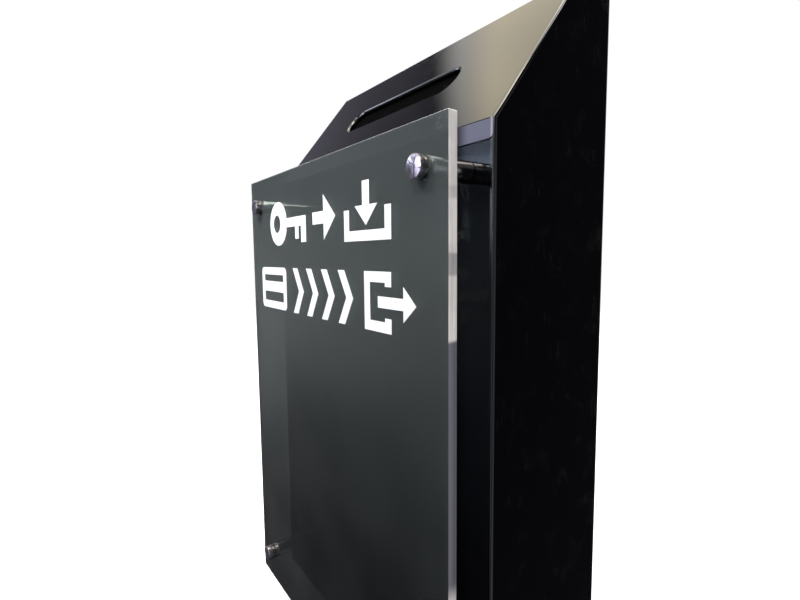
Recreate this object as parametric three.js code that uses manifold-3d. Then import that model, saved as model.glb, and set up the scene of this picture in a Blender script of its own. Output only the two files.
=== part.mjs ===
// A counter-standing drop box: a black sheet-plastic case with a slot in its sloped top,
// a locking door in its back, and a smoked sign panel held off its front on round standoffs.
// Millimetres. +Z is up, the front faces -Y and +X is to the right of a person facing the front.
import * as THREE from "three";
import { mergeVertices } from "three/addons/utils/BufferGeometryUtils.js";
import Module from "manifold-3d";

const wasm = await Module();
wasm.setup();

// ---- Driving dimensions ----

// Case
const CASE_WIDTH = 238.6;
const CASE_DEPTH = 86.8;
const FRONT_HEIGHT = 330; // the upright front, from the underside to the start of the slope
const SLOPE_RUN = 61.2;
const SLOPE_RISE = 78.1;
const SHEET = 3;
const BOND = 0.15; // glue line between two glued pieces, and play between two that only touch
const STRIP = 6; // square strip glued in each rear corner
const STRIP_LENGTH = 390;
const STRIP_MIDDLE = 210;
const PAD = { width: 216, depth: 72, thickness: 4, middle: 40 };

// Slot, a little above the middle of the slope
const SLOT_LENGTH = 120;
const SLOT_WIDTH = 20;
const SLOT_UP = 52.2; // up the slope, from its lower edge to the middle of the slot

// Feet
const FOOT_HEIGHT = 4;
const FOOT_RADIUS = 7;
const FOOT_CHAMFER = 1.2;
const FOOT_INSET_X = 19.3;
const FOOT_INSET_Y = 14;

// Sign and its standoffs
const SIGN_WIDTH = 240;
const SIGN_HEIGHT = 325;
const SIGN_THICKNESS = 4.6;
const SIGN_DROP = 1.4; // from the top of the upright front down to the top of the sign
const SIGN_GAP = 22.5; // between the sign and the case
const STANDOFF_INSET_X = 18;
const STANDOFF_INSET_Z = 20.6;
const STANDOFF_RADIUS = 5.5;
const STUD_RADIUS = 3;
const CAP_THICKNESS = 5;

// Rear door
const OPENING_HALF_WIDTH = 89;
const OPENING_BOTTOM = 28;
const OPENING_TOP = 292;
const DOOR_PLAY = 0.8;
const STOP_LENGTH = 140; // bars that the closed door rests on, clear of the lock and the hinges
const STOP_HEIGHT = 12;
const STOP_MIDDLE = -10;
const STOP_LAP = 1; // from the edge of the opening to the middle of a bar

// Butt hinges, seen from behind on the left
const HINGE_HEIGHTS = { upper: 244, lower: 76 };
const HINGE_HEIGHT = 44;
const LEAF_WIDTH = 20;
const LEAF_THICKNESS = 1;
const KNUCKLE_RADIUS = 2.5;
const PIN_RADIUS = 1.25;
const PIN_PLAY = 0.1;
const KNUCKLE_GAP = 0.3;
const RIVET_REACH = 12; // from the pin to each rivet
const RIVET_SPACING = 26;
const RIVET_RADIUS = 1.55;

// Cam lock
const LOCK_X = -72.2;
const LOCK_Z = 160;
const LOCK_BODY_RADIUS = 8;
const LOCK_BODY_DEPTH = 16.8; // from the back of the door's outer face into the case
const LOCK_FLANGE_RADIUS = 10;
const LOCK_FLANGE_THICKNESS = 3;
const PLUG_RADIUS = 5.3;
const CAM_LENGTH = 30;
const CAM_WIDTH = 14;
const CAM_THICKNESS = 2;
const TAIL = 6; // square end of the plug
const NUT_RADIUS = 11.5;
const NUT_THICKNESS = 3;
const STRIKE_WIDTH = 12;
const STRIKE_HEIGHT = 30;
const STRIKE_GAP = 0.4; // from the strike to the cam, and from the strike to the opening

// Key
const BLADE_LENGTH = 16;
const BLADE_WIDTH = 7;
const BLADE_THICKNESS = 1.8;
const BOW_RADIUS = 11;
const KEY_NECK = 3; // from the lock's face to the bow

// Flap under the slot, in the slope's own directions
const FLAP_HALF_WIDTH = 62;
const FLAP_DEPTH = 1;
const FLAP_TIP = 36; // up the slope, from its lower edge
const FLAP_AXIS_UP = 66.5;
const FLAP_BARREL_RADIUS = 2.2;
const FLAP_GAP = 0.4;
const FLAP_PIN_HALF = 70;

// ---- Derived dimensions ----

const UNDERSIDE = FOOT_HEIGHT;
const FRONT_TOP = UNDERSIDE + FRONT_HEIGHT;
const ROOF = FRONT_TOP + SLOPE_RISE;
const SLOPE_ANGLE = Math.atan2(SLOPE_RISE, SLOPE_RUN);
const SLOPE_LENGTH = Math.hypot(SLOPE_RUN, SLOPE_RISE);
const INNER_HALF = CASE_WIDTH / 2 - SHEET;
const PANEL_HALF = INNER_HALF - BOND;
const REAR_INSIDE = CASE_DEPTH - SHEET;
const SIGN_FRONT = -(SIGN_GAP + SIGN_THICKNESS);
const SIGN_TOP = FRONT_TOP - SIGN_DROP;
const SIGN_MIDDLE = SIGN_TOP - SIGN_HEIGHT / 2;
const STANDOFF_X = SIGN_WIDTH / 2 - STANDOFF_INSET_X;
const STANDOFF_RISE = SIGN_HEIGHT / 2 - STANDOFF_INSET_Z;
const DOOR_HALF = OPENING_HALF_WIDTH - DOOR_PLAY;
const HINGE_X = OPENING_HALF_WIDTH - DOOR_PLAY / 2;
const HINGE_Y = CASE_DEPTH + BOND + KNUCKLE_RADIUS;
const PLATE_START = KNUCKLE_RADIUS + 2 * KNUCKLE_GAP;
const LOCK_FACE = CASE_DEPTH + BOND + LOCK_FLANGE_THICKNESS;
const LOCK_END = CASE_DEPTH - LOCK_BODY_DEPTH;
const BOW_CENTRE = LOCK_FACE + KEY_NECK + BOW_RADIUS;
const FRONT_EXTREME = SIGN_FRONT - CAP_THICKNESS;
const REAR_EXTREME = BOW_CENTRE + BOW_RADIUS;
const FLAP_AXIS_IN = -(SHEET + FLAP_GAP + FLAP_BARREL_RADIUS);

// ---- Materials ----

function material(color, roughness, metalness) {
  return new THREE.MeshStandardMaterial({ color, roughness, metalness });
}

const caseSheet = material(0x0b0b0e, 0.08, 0);
const signSheet = material(0x3b4242, 0.06, 0);
const polishedSteel = material(0xc9c7cb, 0.12, 1);
const platedSteel = material(0x9a9a98, 0.35, 1);
const paintedSteel = material(0x101012, 0.5, 0.2);
const keyNickel = material(0xb5b0a4, 0.3, 1);
const footRubber = material(0x17171a, 0.85, 0);
const padFelt = material(0x2b2b2e, 0.95, 0);

// ---- Geometry helpers ----

const object = new THREE.Group();

function add(parent, name, geometry, look, x = 0, y = 0, z = 0) {
  const mesh = new THREE.Mesh(geometry, look);
  mesh.name = name;
  mesh.position.set(x, y, z);
  parent.add(mesh);
  return mesh;
}

function solid(geometry) {
  const bare = geometry.clone();
  bare.deleteAttribute("normal");
  bare.deleteAttribute("uv");
  const merged = mergeVertices(bare, 1e-4);
  const vertProperties = new Float32Array(merged.attributes.position.array);
  const triVerts = new Uint32Array(merged.index.array);
  return new wasm.Manifold(new wasm.Mesh({ numProp: 3, vertProperties, triVerts }));
}

function surface(manifold) {
  const mesh = manifold.getMesh();
  const geometry = new THREE.BufferGeometry();
  geometry.setAttribute("position", new THREE.BufferAttribute(mesh.vertProperties, 3));
  geometry.setIndex(new THREE.BufferAttribute(mesh.triVerts, 1));
  return geometry;
}

function cut(geometry, tools) {
  return surface(tools.reduce((rest, tool) => rest.subtract(solid(tool)), solid(geometry)));
}

function join(geometries) {
  return surface(geometries.map(solid).reduce((whole, next) => whole.add(next)));
}

// A box given by its low and high corners.
function block(low, high) {
  const size = high.map((value, i) => value - low[i]);
  const middle = high.map((value, i) => (value + low[i]) / 2);
  return new THREE.BoxGeometry(...size).translate(...middle);
}

// A round bar along one axis, from one end to the other.
function bar(axis, radius, from, to, segments = 24) {
  const geometry = new THREE.CylinderGeometry(radius, radius, to - from, segments);
  if (axis === "x") geometry.rotateZ(Math.PI / 2);
  if (axis === "z") geometry.rotateX(Math.PI / 2);
  const middle = (from + to) / 2;
  return geometry.translate(
    axis === "x" ? middle : 0,
    axis === "y" ? middle : 0,
    axis === "z" ? middle : 0,
  );
}

// A turned piece: [radius, height] points revolved about the Y axis.
function turned(profile, segments = 24) {
  return new THREE.LatheGeometry(profile.map(([r, h]) => new THREE.Vector2(r, h)), segments);
}

function outline(points) {
  return new THREE.Shape(points.map(([a, b]) => new THREE.Vector2(a, b)));
}

// A (y, z) outline extruded along x.
function alongX(points, from, to) {
  const geometry = new THREE.ExtrudeGeometry(outline(points), { depth: to - from, bevelEnabled: false });
  geometry.applyQuaternion(new THREE.Quaternion(0.5, 0.5, 0.5, 0.5));
  return geometry.translate(from, 0, 0);
}

// ---- Case ----

// The case's outline in (y, z), seen from its right: underside, back, roof, slope, front.
const OUTER = [
  [0, UNDERSIDE],
  [CASE_DEPTH, UNDERSIDE],
  [CASE_DEPTH, ROOF],
  [SLOPE_RUN, ROOF],
  [0, FRONT_TOP],
];
const WALLS = ["bottom_panel", "rear_panel", "top_panel", "sloped_panel", "front_panel"];

function direction(from, to) {
  const length = Math.hypot(to[0] - from[0], to[1] - from[1]);
  return [(to[0] - from[0]) / length, (to[1] - from[1]) / length];
}

// The point one sheet inside a corner, on the line that halves it.
function insideCorner(index) {
  const here = OUTER[index];
  const before = direction(OUTER.at(index - 1), here);
  const after = direction(here, OUTER[(index + 1) % OUTER.length]);
  const turn = before[0] * after[1] - before[1] * after[0];
  return here.map((value, i) => value + (SHEET * (after[i] - before[i])) / turn);
}

// A wall's cross-section between its two mitred ends, each a glue line short.
function wallSection(index) {
  const next = (index + 1) % OUTER.length;
  const along = direction(OUTER[index], OUTER[next]);
  const shift = (point, by) => point.map((value, i) => value + along[i] * by);
  return [
    shift(OUTER[index], BOND),
    shift(OUTER[next], -BOND),
    shift(insideCorner(next), -BOND),
    shift(insideCorner(index), BOND),
  ];
}

function wall(name) {
  return alongX(wallSection(WALLS.indexOf(name)), -PANEL_HALF, PANEL_HALF);
}

function standoffPlaces() {
  const places = [];
  for (const [level, rise] of [["upper", STANDOFF_RISE], ["lower", -STANDOFF_RISE]]) {
    for (const [side, x] of [["left", -STANDOFF_X], ["right", STANDOFF_X]]) {
      places.push({ name: `${level}_${side}`, x, z: SIGN_MIDDLE + rise });
    }
  }
  return places;
}

function rivetPlaces() {
  const places = [];
  for (const [level, height] of Object.entries(HINGE_HEIGHTS)) {
    for (const [body, reach] of [["case", RIVET_REACH], ["door", -RIVET_REACH]]) {
      for (const [end, rise] of [["top", RIVET_SPACING / 2], ["bottom", -RIVET_SPACING / 2]]) {
        places.push({ name: `${level}_${body}_${end}`, body, x: HINGE_X + reach, z: height + rise });
      }
    }
  }
  return places;
}

function rivetHoles(body) {
  const holes = rivetPlaces().filter((place) => place.body === body);
  return holes.map(({ x, z }) => {
    return bar("y", RIVET_RADIUS + 0.2, REAR_INSIDE - 1, CASE_DEPTH + 1, 12).translate(x, 0, z);
  });
}

function slotCutter() {
  const radius = SLOT_WIDTH / 2;
  const half = SLOT_LENGTH / 2 - radius;
  const shape = new THREE.Shape();
  shape.absarc(half, 0, radius, -Math.PI / 2, Math.PI / 2, false);
  shape.absarc(-half, 0, radius, Math.PI / 2, (3 * Math.PI) / 2, false);
  const options = { depth: 4 * SHEET, bevelEnabled: false, curveSegments: 16 };
  const cutter = new THREE.ExtrudeGeometry(shape, options).translate(0, SLOT_UP, -2 * SHEET);
  return cutter.rotateX(SLOPE_ANGLE).translate(0, 0, FRONT_TOP);
}

function makeCase(parent) {
  add(parent, "left_side_panel", alongX(OUTER, -CASE_WIDTH / 2, -INNER_HALF), caseSheet);
  add(parent, "right_side_panel", alongX(OUTER, INNER_HALF, CASE_WIDTH / 2), caseSheet);
  const screwHoles = standoffPlaces().map(({ x, z }) => {
    return bar("y", STUD_RADIUS + 0.4, -1, SHEET + 1).translate(x, 0, z);
  });
  add(parent, "front_panel", cut(wall("front_panel"), screwHoles), caseSheet);
  add(parent, "sloped_panel", cut(wall("sloped_panel"), [slotCutter()]), caseSheet);
  add(parent, "top_panel", wall("top_panel"), caseSheet);
  add(parent, "bottom_panel", wall("bottom_panel"), caseSheet);
  const opening = block(
    [-OPENING_HALF_WIDTH, REAR_INSIDE - 1, OPENING_BOTTOM],
    [OPENING_HALF_WIDTH, CASE_DEPTH + 1, OPENING_TOP],
  );
  add(parent, "rear_panel", cut(wall("rear_panel"), [opening, ...rivetHoles("case")]), caseSheet);
}

function makeInside(parent) {
  const floor = UNDERSIDE + SHEET;
  for (const [side, sign] of [["left", -1], ["right", 1]]) {
    const x = sign * (PANEL_HALF - STRIP / 2);
    const y = REAR_INSIDE - BOND - STRIP / 2;
    const strip = new THREE.BoxGeometry(STRIP, STRIP, STRIP_LENGTH);
    add(parent, `rear_${side}_corner_strip`, strip, caseSheet, x, y, STRIP_MIDDLE);
  }
  const stop = new THREE.BoxGeometry(STOP_LENGTH, SHEET, STOP_HEIGHT);
  const stopY = REAR_INSIDE - BOND - SHEET / 2;
  add(parent, "door_stop_top", stop, caseSheet, STOP_MIDDLE, stopY, OPENING_TOP + STOP_LAP);
  add(parent, "door_stop_bottom", stop, caseSheet, STOP_MIDDLE, stopY, OPENING_BOTTOM - STOP_LAP);
  const pad = new THREE.BoxGeometry(PAD.width, PAD.depth, PAD.thickness);
  add(parent, "drop_pad", pad, padFelt, 0, PAD.middle, floor + BOND + PAD.thickness / 2);
  for (const [end, y] of [["front", FOOT_INSET_Y], ["rear", CASE_DEPTH - FOOT_INSET_Y]]) {
    for (const [side, sign] of [["left", -1], ["right", 1]]) {
      const foot = turned([
        [0, 0],
        [FOOT_RADIUS - FOOT_CHAMFER, 0],
        [FOOT_RADIUS, FOOT_CHAMFER],
        [FOOT_RADIUS, FOOT_HEIGHT - BOND],
        [0, FOOT_HEIGHT - BOND],
      ]).rotateX(Math.PI / 2);
      add(parent, `foot_${end}_${side}`, foot, footRubber, sign * (CASE_WIDTH / 2 - FOOT_INSET_X), y, 0);
    }
  }
}

// ---- Sign ----

function makeSign(parent) {
  const panel = outline([
    [-SIGN_WIDTH / 2, -SIGN_HEIGHT / 2],
    [SIGN_WIDTH / 2, -SIGN_HEIGHT / 2],
    [SIGN_WIDTH / 2, SIGN_HEIGHT / 2],
    [-SIGN_WIDTH / 2, SIGN_HEIGHT / 2],
  ]);
  for (const { x, z } of standoffPlaces()) {
    const hole = new THREE.Path();
    hole.absarc(x, z - SIGN_MIDDLE, STUD_RADIUS + 0.4, 0, 2 * Math.PI, true);
    panel.holes.push(hole);
  }
  const options = { depth: SIGN_THICKNESS, bevelEnabled: false, curveSegments: 12 };
  const sheet = new THREE.ExtrudeGeometry(panel, options).rotateX(Math.PI / 2);
  add(parent, "sign_panel", sheet, signSheet, 0, -SIGN_GAP, SIGN_MIDDLE);

  const edge = 0.4;
  const studEnd = SIGN_THICKNESS + 8;
  const cap = [
    [0, -CAP_THICKNESS],
    [STANDOFF_RADIUS - edge, -CAP_THICKNESS],
    [STANDOFF_RADIUS, -CAP_THICKNESS + edge],
    [STANDOFF_RADIUS, -BOND],
    [STUD_RADIUS, -BOND],
    [STUD_RADIUS, studEnd],
    [0, studEnd],
  ];
  const barrelBore = STUD_RADIUS + 0.2;
  const barrel = [
    [barrelBore, BOND],
    [STANDOFF_RADIUS, BOND],
    [STANDOFF_RADIUS, SIGN_GAP - BOND],
    [barrelBore, SIGN_GAP - BOND],
    [barrelBore, BOND],
  ];
  const screw = [
    [0, -8],
    [STUD_RADIUS, -8],
    [STUD_RADIUS, SHEET + BOND],
    [5, SHEET + BOND],
    [5, SHEET + 2.4],
    [4, SHEET + 3.2],
    [0, SHEET + 3.2],
  ];
  for (const { name, x, z } of standoffPlaces()) {
    add(parent, `standoff_cap_${name}`, turned(cap, 32), polishedSteel, x, SIGN_FRONT, z);
    add(parent, `standoff_barrel_${name}`, turned(barrel, 32), polishedSteel, x, -SIGN_GAP, z);
    add(parent, `standoff_screw_${name}`, turned(screw, 20), platedSteel, x, 0, z);
  }
}

// ---- Rear door, hinges and lock ----

// One leaf about its pin: a plate to one side, with its own knuckles over the given spans.
function hingeLeaf(side, spans) {
  const half = HINGE_HEIGHT / 2;
  const low = -KNUCKLE_RADIUS;
  const high = low + LEAF_THICKNESS;
  const ends = [side * PLATE_START, side * LEAF_WIDTH].sort((a, b) => a - b);
  const parts = [block([ends[0], low, -half], [ends[1], high, half])];
  for (const [from, to] of spans) {
    const reach = [0, side * (PLATE_START + 1)].sort((a, b) => a - b);
    parts.push(block([reach[0], low, from], [reach[1], high, to]));
    parts.push(bar("z", KNUCKLE_RADIUS, from, to));
  }
  const bore = bar("z", PIN_RADIUS + PIN_PLAY, -half - 1, half + 1);
  const holes = [-1, 1].map((end) => {
    const hole = bar("y", RIVET_RADIUS + 0.2, low - 1, high + 1, 12);
    return hole.translate(side * RIVET_REACH, 0, (end * RIVET_SPACING) / 2);
  });
  return cut(join(parts), [bore, ...holes]);
}

function makeHinges(parent) {
  const half = HINGE_HEIGHT / 2;
  const third = HINGE_HEIGHT / 6;
  const outerSpans = [[-half, -third], [third, half]];
  const middleSpan = [[-third + KNUCKLE_GAP, third - KNUCKLE_GAP]];
  for (const [level, height] of Object.entries(HINGE_HEIGHTS)) {
    const place = [HINGE_X, HINGE_Y, height];
    add(parent, `hinge_${level}_case_leaf`, hingeLeaf(1, outerSpans), platedSteel, ...place);
    add(parent, `hinge_${level}_door_leaf`, hingeLeaf(-1, middleSpan), platedSteel, ...place);
    const pin = turned([
      [0, -half],
      [PIN_RADIUS, -half],
      [PIN_RADIUS, half + BOND],
      [KNUCKLE_RADIUS - 0.4, half + BOND],
      [KNUCKLE_RADIUS - 0.8, half + 1],
      [0, half + 1],
    ]).rotateX(Math.PI / 2);
    add(parent, `hinge_${level}_pin`, pin, platedSteel, ...place);
  }
  const rivetBase = LEAF_THICKNESS + SHEET + 2 * BOND;
  const rivet = [
    [0, -rivetBase - 1.4],
    [2, -rivetBase - 1.4],
    [2.5, -rivetBase - 0.8],
    [2.5, -rivetBase],
    [RIVET_RADIUS, -rivetBase],
    [RIVET_RADIUS, BOND],
    [3, BOND],
    [2.6, 0.8],
    [1.6, 1.2],
    [0, 1.2],
  ];
  for (const { name, x, z } of rivetPlaces()) {
    const y = CASE_DEPTH + BOND + LEAF_THICKNESS;
    add(parent, `hinge_rivet_${name}`, turned(rivet, 12), platedSteel, x, y, z);
  }
}

function makeDoor(parent) {
  const sheet = block(
    [-DOOR_HALF, REAR_INSIDE, OPENING_BOTTOM + DOOR_PLAY],
    [DOOR_HALF, CASE_DEPTH, OPENING_TOP - DOOR_PLAY],
  );
  const lockHole = bar("y", LOCK_BODY_RADIUS + 0.2, REAR_INSIDE - 1, CASE_DEPTH + 1, 32);
  lockHole.translate(LOCK_X, 0, LOCK_Z);
  add(parent, "rear_door", cut(sheet, [lockHole, ...rivetHoles("door")]), caseSheet);
}

// Every piece of the lock is drawn about the lock's own axis, with y = 0 at the case's front.
function makeLock(parent) {
  const place = [LOCK_X, 0, LOCK_Z];
  const bore = PLUG_RADIUS + 0.2;
  const housing = turned([
    [bore, LOCK_END],
    [LOCK_BODY_RADIUS, LOCK_END],
    [LOCK_BODY_RADIUS, CASE_DEPTH + BOND],
    [LOCK_FLANGE_RADIUS, CASE_DEPTH + BOND],
    [LOCK_FLANGE_RADIUS, LOCK_FACE - 1],
    [LOCK_FLANGE_RADIUS - 1, LOCK_FACE],
    [bore, LOCK_FACE],
    [bore, LOCK_END],
  ], 32);
  add(parent, "lock_housing", housing, polishedSteel, ...place);

  const nutTop = REAR_INSIDE - BOND;
  const hexagon = new THREE.CylinderGeometry(NUT_RADIUS, NUT_RADIUS, NUT_THICKNESS, 6);
  const nutBar = hexagon.translate(0, nutTop - NUT_THICKNESS / 2, 0);
  const nut = cut(nutBar, [bar("y", LOCK_BODY_RADIUS + 0.2, nutTop - 4, nutTop + 1, 32)]);
  add(parent, "lock_nut", nut, platedSteel, ...place);

  const camOuter = LOCK_END - BOND;
  const camInner = camOuter - CAM_THICKNESS;
  const halfTail = TAIL / 2;
  const barrel = bar("y", PLUG_RADIUS, LOCK_END, LOCK_FACE, 32);
  const tail = block([-halfTail, camInner + 0.1, -halfTail], [halfTail, LOCK_END + 1, halfTail]);
  const keyway = block([-4, LOCK_FACE - BLADE_LENGTH - 0.5, -1.2], [4, LOCK_FACE + 1, 1.2]);
  const screwHole = bar("y", 1.7, camInner - 1, camInner + 5, 12);
  add(parent, "lock_plug", cut(join([barrel, tail]), [keyway, screwHole]), polishedSteel, ...place);

  const lever = new THREE.Shape();
  lever.absarc(0, 0, CAM_WIDTH / 2, 0, Math.PI, false);
  lever.absarc(0, -(CAM_LENGTH - CAM_WIDTH / 2), CAM_WIDTH / 2, Math.PI, 2 * Math.PI, false);
  const options = { depth: CAM_THICKNESS, bevelEnabled: false, curveSegments: 12 };
  const blank = new THREE.ExtrudeGeometry(lever, options).rotateX(Math.PI / 2).translate(0, camOuter, 0);
  const hole = halfTail + 0.15;
  const squareHole = block([-hole, camInner - 1, -hole], [hole, camOuter + 1, hole]);
  add(parent, "lock_cam", cut(blank, [squareHole]), platedSteel, ...place);

  const screw = turned([
    [0, camInner - 2.4],
    [3.4, camInner - 2.4],
    [4.2, camInner - 1.6],
    [4.2, camInner - BOND],
    [1.5, camInner - BOND],
    [1.5, camInner + 4.6],
    [0, camInner + 4.6],
  ], 16);
  add(parent, "lock_cam_screw", screw, platedSteel, ...place);

  add(parent, "key", keyShape(), keyNickel, ...place);

  const strikeStart = camOuter + STRIKE_GAP;
  const strikeDepth = REAR_INSIDE - BOND - strikeStart;
  const strike = new THREE.BoxGeometry(STRIKE_WIDTH, strikeDepth, STRIKE_HEIGHT);
  const strikeX = -OPENING_HALF_WIDTH - STRIKE_GAP - STRIKE_WIDTH / 2;
  add(parent, "lock_strike", strike, caseSheet, strikeX, strikeStart + strikeDepth / 2, LOCK_Z);
}

// The key lies flat in a horizontal keyway: round bow, shoulder, and a blade with cuts on one side.
function keyShape() {
  const half = BLADE_WIDTH / 2;
  const tip = LOCK_FACE - BLADE_LENGTH;
  const shoulder = LOCK_FACE + 0.4;
  const shape = new THREE.Shape();
  const neck = half + 0.8;
  const meeting = Math.asin(neck / BOW_RADIUS);
  shape.moveTo(neck, shoulder);
  shape.absarc(0, BOW_CENTRE, BOW_RADIUS, -Math.PI / 2 + meeting, (3 * Math.PI) / 2 - meeting, false);
  shape.lineTo(-neck, shoulder);
  shape.lineTo(-half, shoulder);
  shape.lineTo(-half, tip + 2);
  shape.lineTo(-half + 2, tip);
  shape.lineTo(half - 2, tip);
  for (const [along, depth] of [[2.2, 1.2], [4.4, 0.4], [6.6, 1.8], [8.8, 0.8], [11, 1.4]]) {
    shape.lineTo(half - depth, tip + along);
    shape.lineTo(half - depth, tip + along + 1);
  }
  shape.lineTo(half, shoulder);
  const eye = new THREE.Path();
  eye.absarc(0, BOW_CENTRE + 4.5, 3, 0, 2 * Math.PI, true);
  shape.holes.push(eye);
  const options = { depth: BLADE_THICKNESS, bevelEnabled: false, curveSegments: 16 };
  return new THREE.ExtrudeGeometry(shape, options).translate(0, 0, -BLADE_THICKNESS / 2);
}

// ---- Flap under the slot ----

// A torsion spring about the x axis: coils round the pin, then a leg lying under the flap.
function springShape() {
  const turns = 4;
  const radius = 2;
  const pitch = 1.05;
  const steps = 12;
  const points = [];
  for (let i = 0; i <= turns * steps; i++) {
    const angle = (2 * Math.PI * i) / steps;
    points.push(new THREE.Vector3((pitch * i) / steps, radius * Math.sin(angle), -radius * Math.cos(angle)));
  }
  for (const along of [4, 9, 14]) {
    points.push(new THREE.Vector3(pitch * turns, -along, -radius + 0.02 * along));
  }
  points.reverse();
  const wire = new THREE.Shape();
  wire.absarc(0, 0, 0.35, 0, 2 * Math.PI, false);
  const path = new THREE.CatmullRomCurve3(points);
  const options = { steps: 80, bevelEnabled: false, extrudePath: path, curveSegments: 3 };
  return new THREE.ExtrudeGeometry(wire, options);
}

function makeFlap(parent) {
  const slope = new THREE.Group();
  slope.position.z = FRONT_TOP;
  slope.rotation.x = SLOPE_ANGLE;
  parent.add(slope);
  const place = [0, FLAP_AXIS_UP, FLAP_AXIS_IN];
  const barrelHalf = FLAP_HALF_WIDTH - 7;
  const plate = block(
    [-FLAP_HALF_WIDTH, FLAP_TIP - FLAP_AXIS_UP, FLAP_BARREL_RADIUS - FLAP_DEPTH],
    [FLAP_HALF_WIDTH, -FLAP_BARREL_RADIUS - 0.6, FLAP_BARREL_RADIUS],
  );
  const neck = block(
    [-barrelHalf, -FLAP_BARREL_RADIUS - 1, FLAP_BARREL_RADIUS - FLAP_DEPTH],
    [barrelHalf, 0, FLAP_BARREL_RADIUS],
  );
  const barrel = bar("x", FLAP_BARREL_RADIUS, -barrelHalf, barrelHalf);
  const bore = bar("x", PIN_RADIUS + PIN_PLAY, -barrelHalf - 1, barrelHalf + 1);
  add(slope, "flap", cut(join([plate, neck, barrel]), [bore]), paintedSteel, ...place);
  const pin = bar("x", PIN_RADIUS, -FLAP_PIN_HALF, FLAP_PIN_HALF, 20);
  add(slope, "flap_pin", pin, platedSteel, ...place);
  const bracketTop = -SHEET - BOND - FLAP_AXIS_IN;
  for (const [side, sign] of [["left", -1], ["right", 1]]) {
    const ends = [sign * (FLAP_HALF_WIDTH + 1), sign * (FLAP_PIN_HALF - 1)].sort((a, b) => a - b);
    const lug = block([ends[0], -5, -4], [ends[1], 5, bracketTop]);
    const hole = bar("x", PIN_RADIUS + PIN_PLAY, ends[0] - 1, ends[1] + 1);
    add(slope, `flap_bracket_${side}`, cut(lug, [hole]), caseSheet, ...place);
  }
  add(slope, "flap_spring", springShape(), platedSteel, barrelHalf + 0.8, place[1], place[2]);
}

// ---- Assembly ----

// The origin is under the middle of the whole object, on the plane that the feet stand on.
const box = new THREE.Group();
box.position.y = -(FRONT_EXTREME + REAR_EXTREME) / 2;
object.add(box);
makeCase(box);
makeInside(box);
makeSign(box);
makeHinges(box);
makeDoor(box);
makeLock(box);
makeFlap(box);

export default object;
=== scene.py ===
"""The drop box's visible pieces, materials, light and camera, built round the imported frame.

Lengths are in millimetres until a mesh is made. The front faces -Y, +X is to its right and +Z is up.
"""

from math import asin, cos, degrees, hypot, pi, radians, sin

import bmesh
import bpy
from mathutils import Matrix, Vector
from mathutils.geometry import tessellate_polygon


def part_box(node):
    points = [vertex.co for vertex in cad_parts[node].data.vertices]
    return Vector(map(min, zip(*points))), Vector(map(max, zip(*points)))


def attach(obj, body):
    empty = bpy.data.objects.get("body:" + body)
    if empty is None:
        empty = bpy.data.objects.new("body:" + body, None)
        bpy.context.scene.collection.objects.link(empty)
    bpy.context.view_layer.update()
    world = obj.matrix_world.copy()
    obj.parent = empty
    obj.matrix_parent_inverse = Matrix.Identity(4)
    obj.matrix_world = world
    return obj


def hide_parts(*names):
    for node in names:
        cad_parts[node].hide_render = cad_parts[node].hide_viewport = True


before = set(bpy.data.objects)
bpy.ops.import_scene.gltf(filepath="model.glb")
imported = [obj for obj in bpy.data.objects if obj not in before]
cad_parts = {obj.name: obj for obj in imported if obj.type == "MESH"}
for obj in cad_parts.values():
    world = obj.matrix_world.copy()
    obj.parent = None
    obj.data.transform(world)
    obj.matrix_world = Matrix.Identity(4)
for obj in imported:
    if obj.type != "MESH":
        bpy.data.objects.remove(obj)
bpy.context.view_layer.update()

MM = 0.001
X, Y, Z = Vector((1, 0, 0)), Vector((0, 1, 0)), Vector((0, 0, 1))


def box(node):
    """Lowest and highest corner of a CAD node, in millimetres."""
    low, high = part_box(node)
    return Vector(low) / MM, Vector(high) / MM


# ---- Shapes -----------------------------------------------------------------


class Shape:
    """The points and faces of one piece, each face with its material and its shading."""

    def __init__(self):
        self.points, self.faces, self.looks, self.smooth = [], [], [], []

    def add(self, points, faces, look=0, smooth=False):
        start = len(self.points)
        self.points += points
        for face in faces:
            self.faces.append([start + i for i in face])
            self.looks.append(look)
            self.smooth.append(smooth)


def placed(origin, u, v, w):
    """The matrix that puts (u, v, w) coordinates at an origin, along three directions."""
    matrix = Matrix((u, v, w)).transposed().to_4x4()
    matrix.translation = Vector(origin)
    return matrix


def offset(loop, inset):
    """A closed loop moved to its left by inset: anticlockwise loops shrink and clockwise ones grow."""
    if not inset:
        return list(loop)
    moved = []
    for i, here in enumerate(loop):
        before, after = loop[i - 1], loop[(i + 1) % len(loop)]
        first = Vector((here[0] - before[0], here[1] - before[1])).normalized()
        second = Vector((after[0] - here[0], after[1] - here[1])).normalized()
        normals = Vector((-first.y - second.y, first.x + second.x))
        moved.append(Vector(here) + normals * inset / (1 + first.dot(second)))
    return moved


def layered(shape, layers, place, look=0, caps=(0, 0)):
    """Closed form through layers of (height, outer loop, holes), with flat ends and smooth sides."""
    counts = [len(loop) for loop in [layers[0][1], *layers[0][2]]]
    points = []
    for height, outer, holes in layers:
        for loop in [outer, *holes]:
            points += [place @ Vector((p[0], p[1], height)) for p in loop]
    total = sum(counts)
    faces = []
    for level in range(len(layers) - 1):
        start = level * total
        for count in counts:
            for i in range(count):
                j = (i + 1) % count
                faces.append([start + i, start + j, start + total + j, start + total + i])
            start += count
    shape.add(points, faces, look, True)
    for which, (_, outer, holes) in enumerate([layers[0], layers[-1]]):
        first = which * (len(layers) - 1) * total
        if holes:
            loops = [[Vector((p[0], p[1], 0)) for p in loop] for loop in [outer, *holes]]
            cap = tessellate_polygon(loops)
        else:
            cap = [range(counts[0])]
        ends = [[points[first + i] for i in range(total)], [list(face) for face in cap]]
        shape.add(*ends, caps[which], False)


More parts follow.
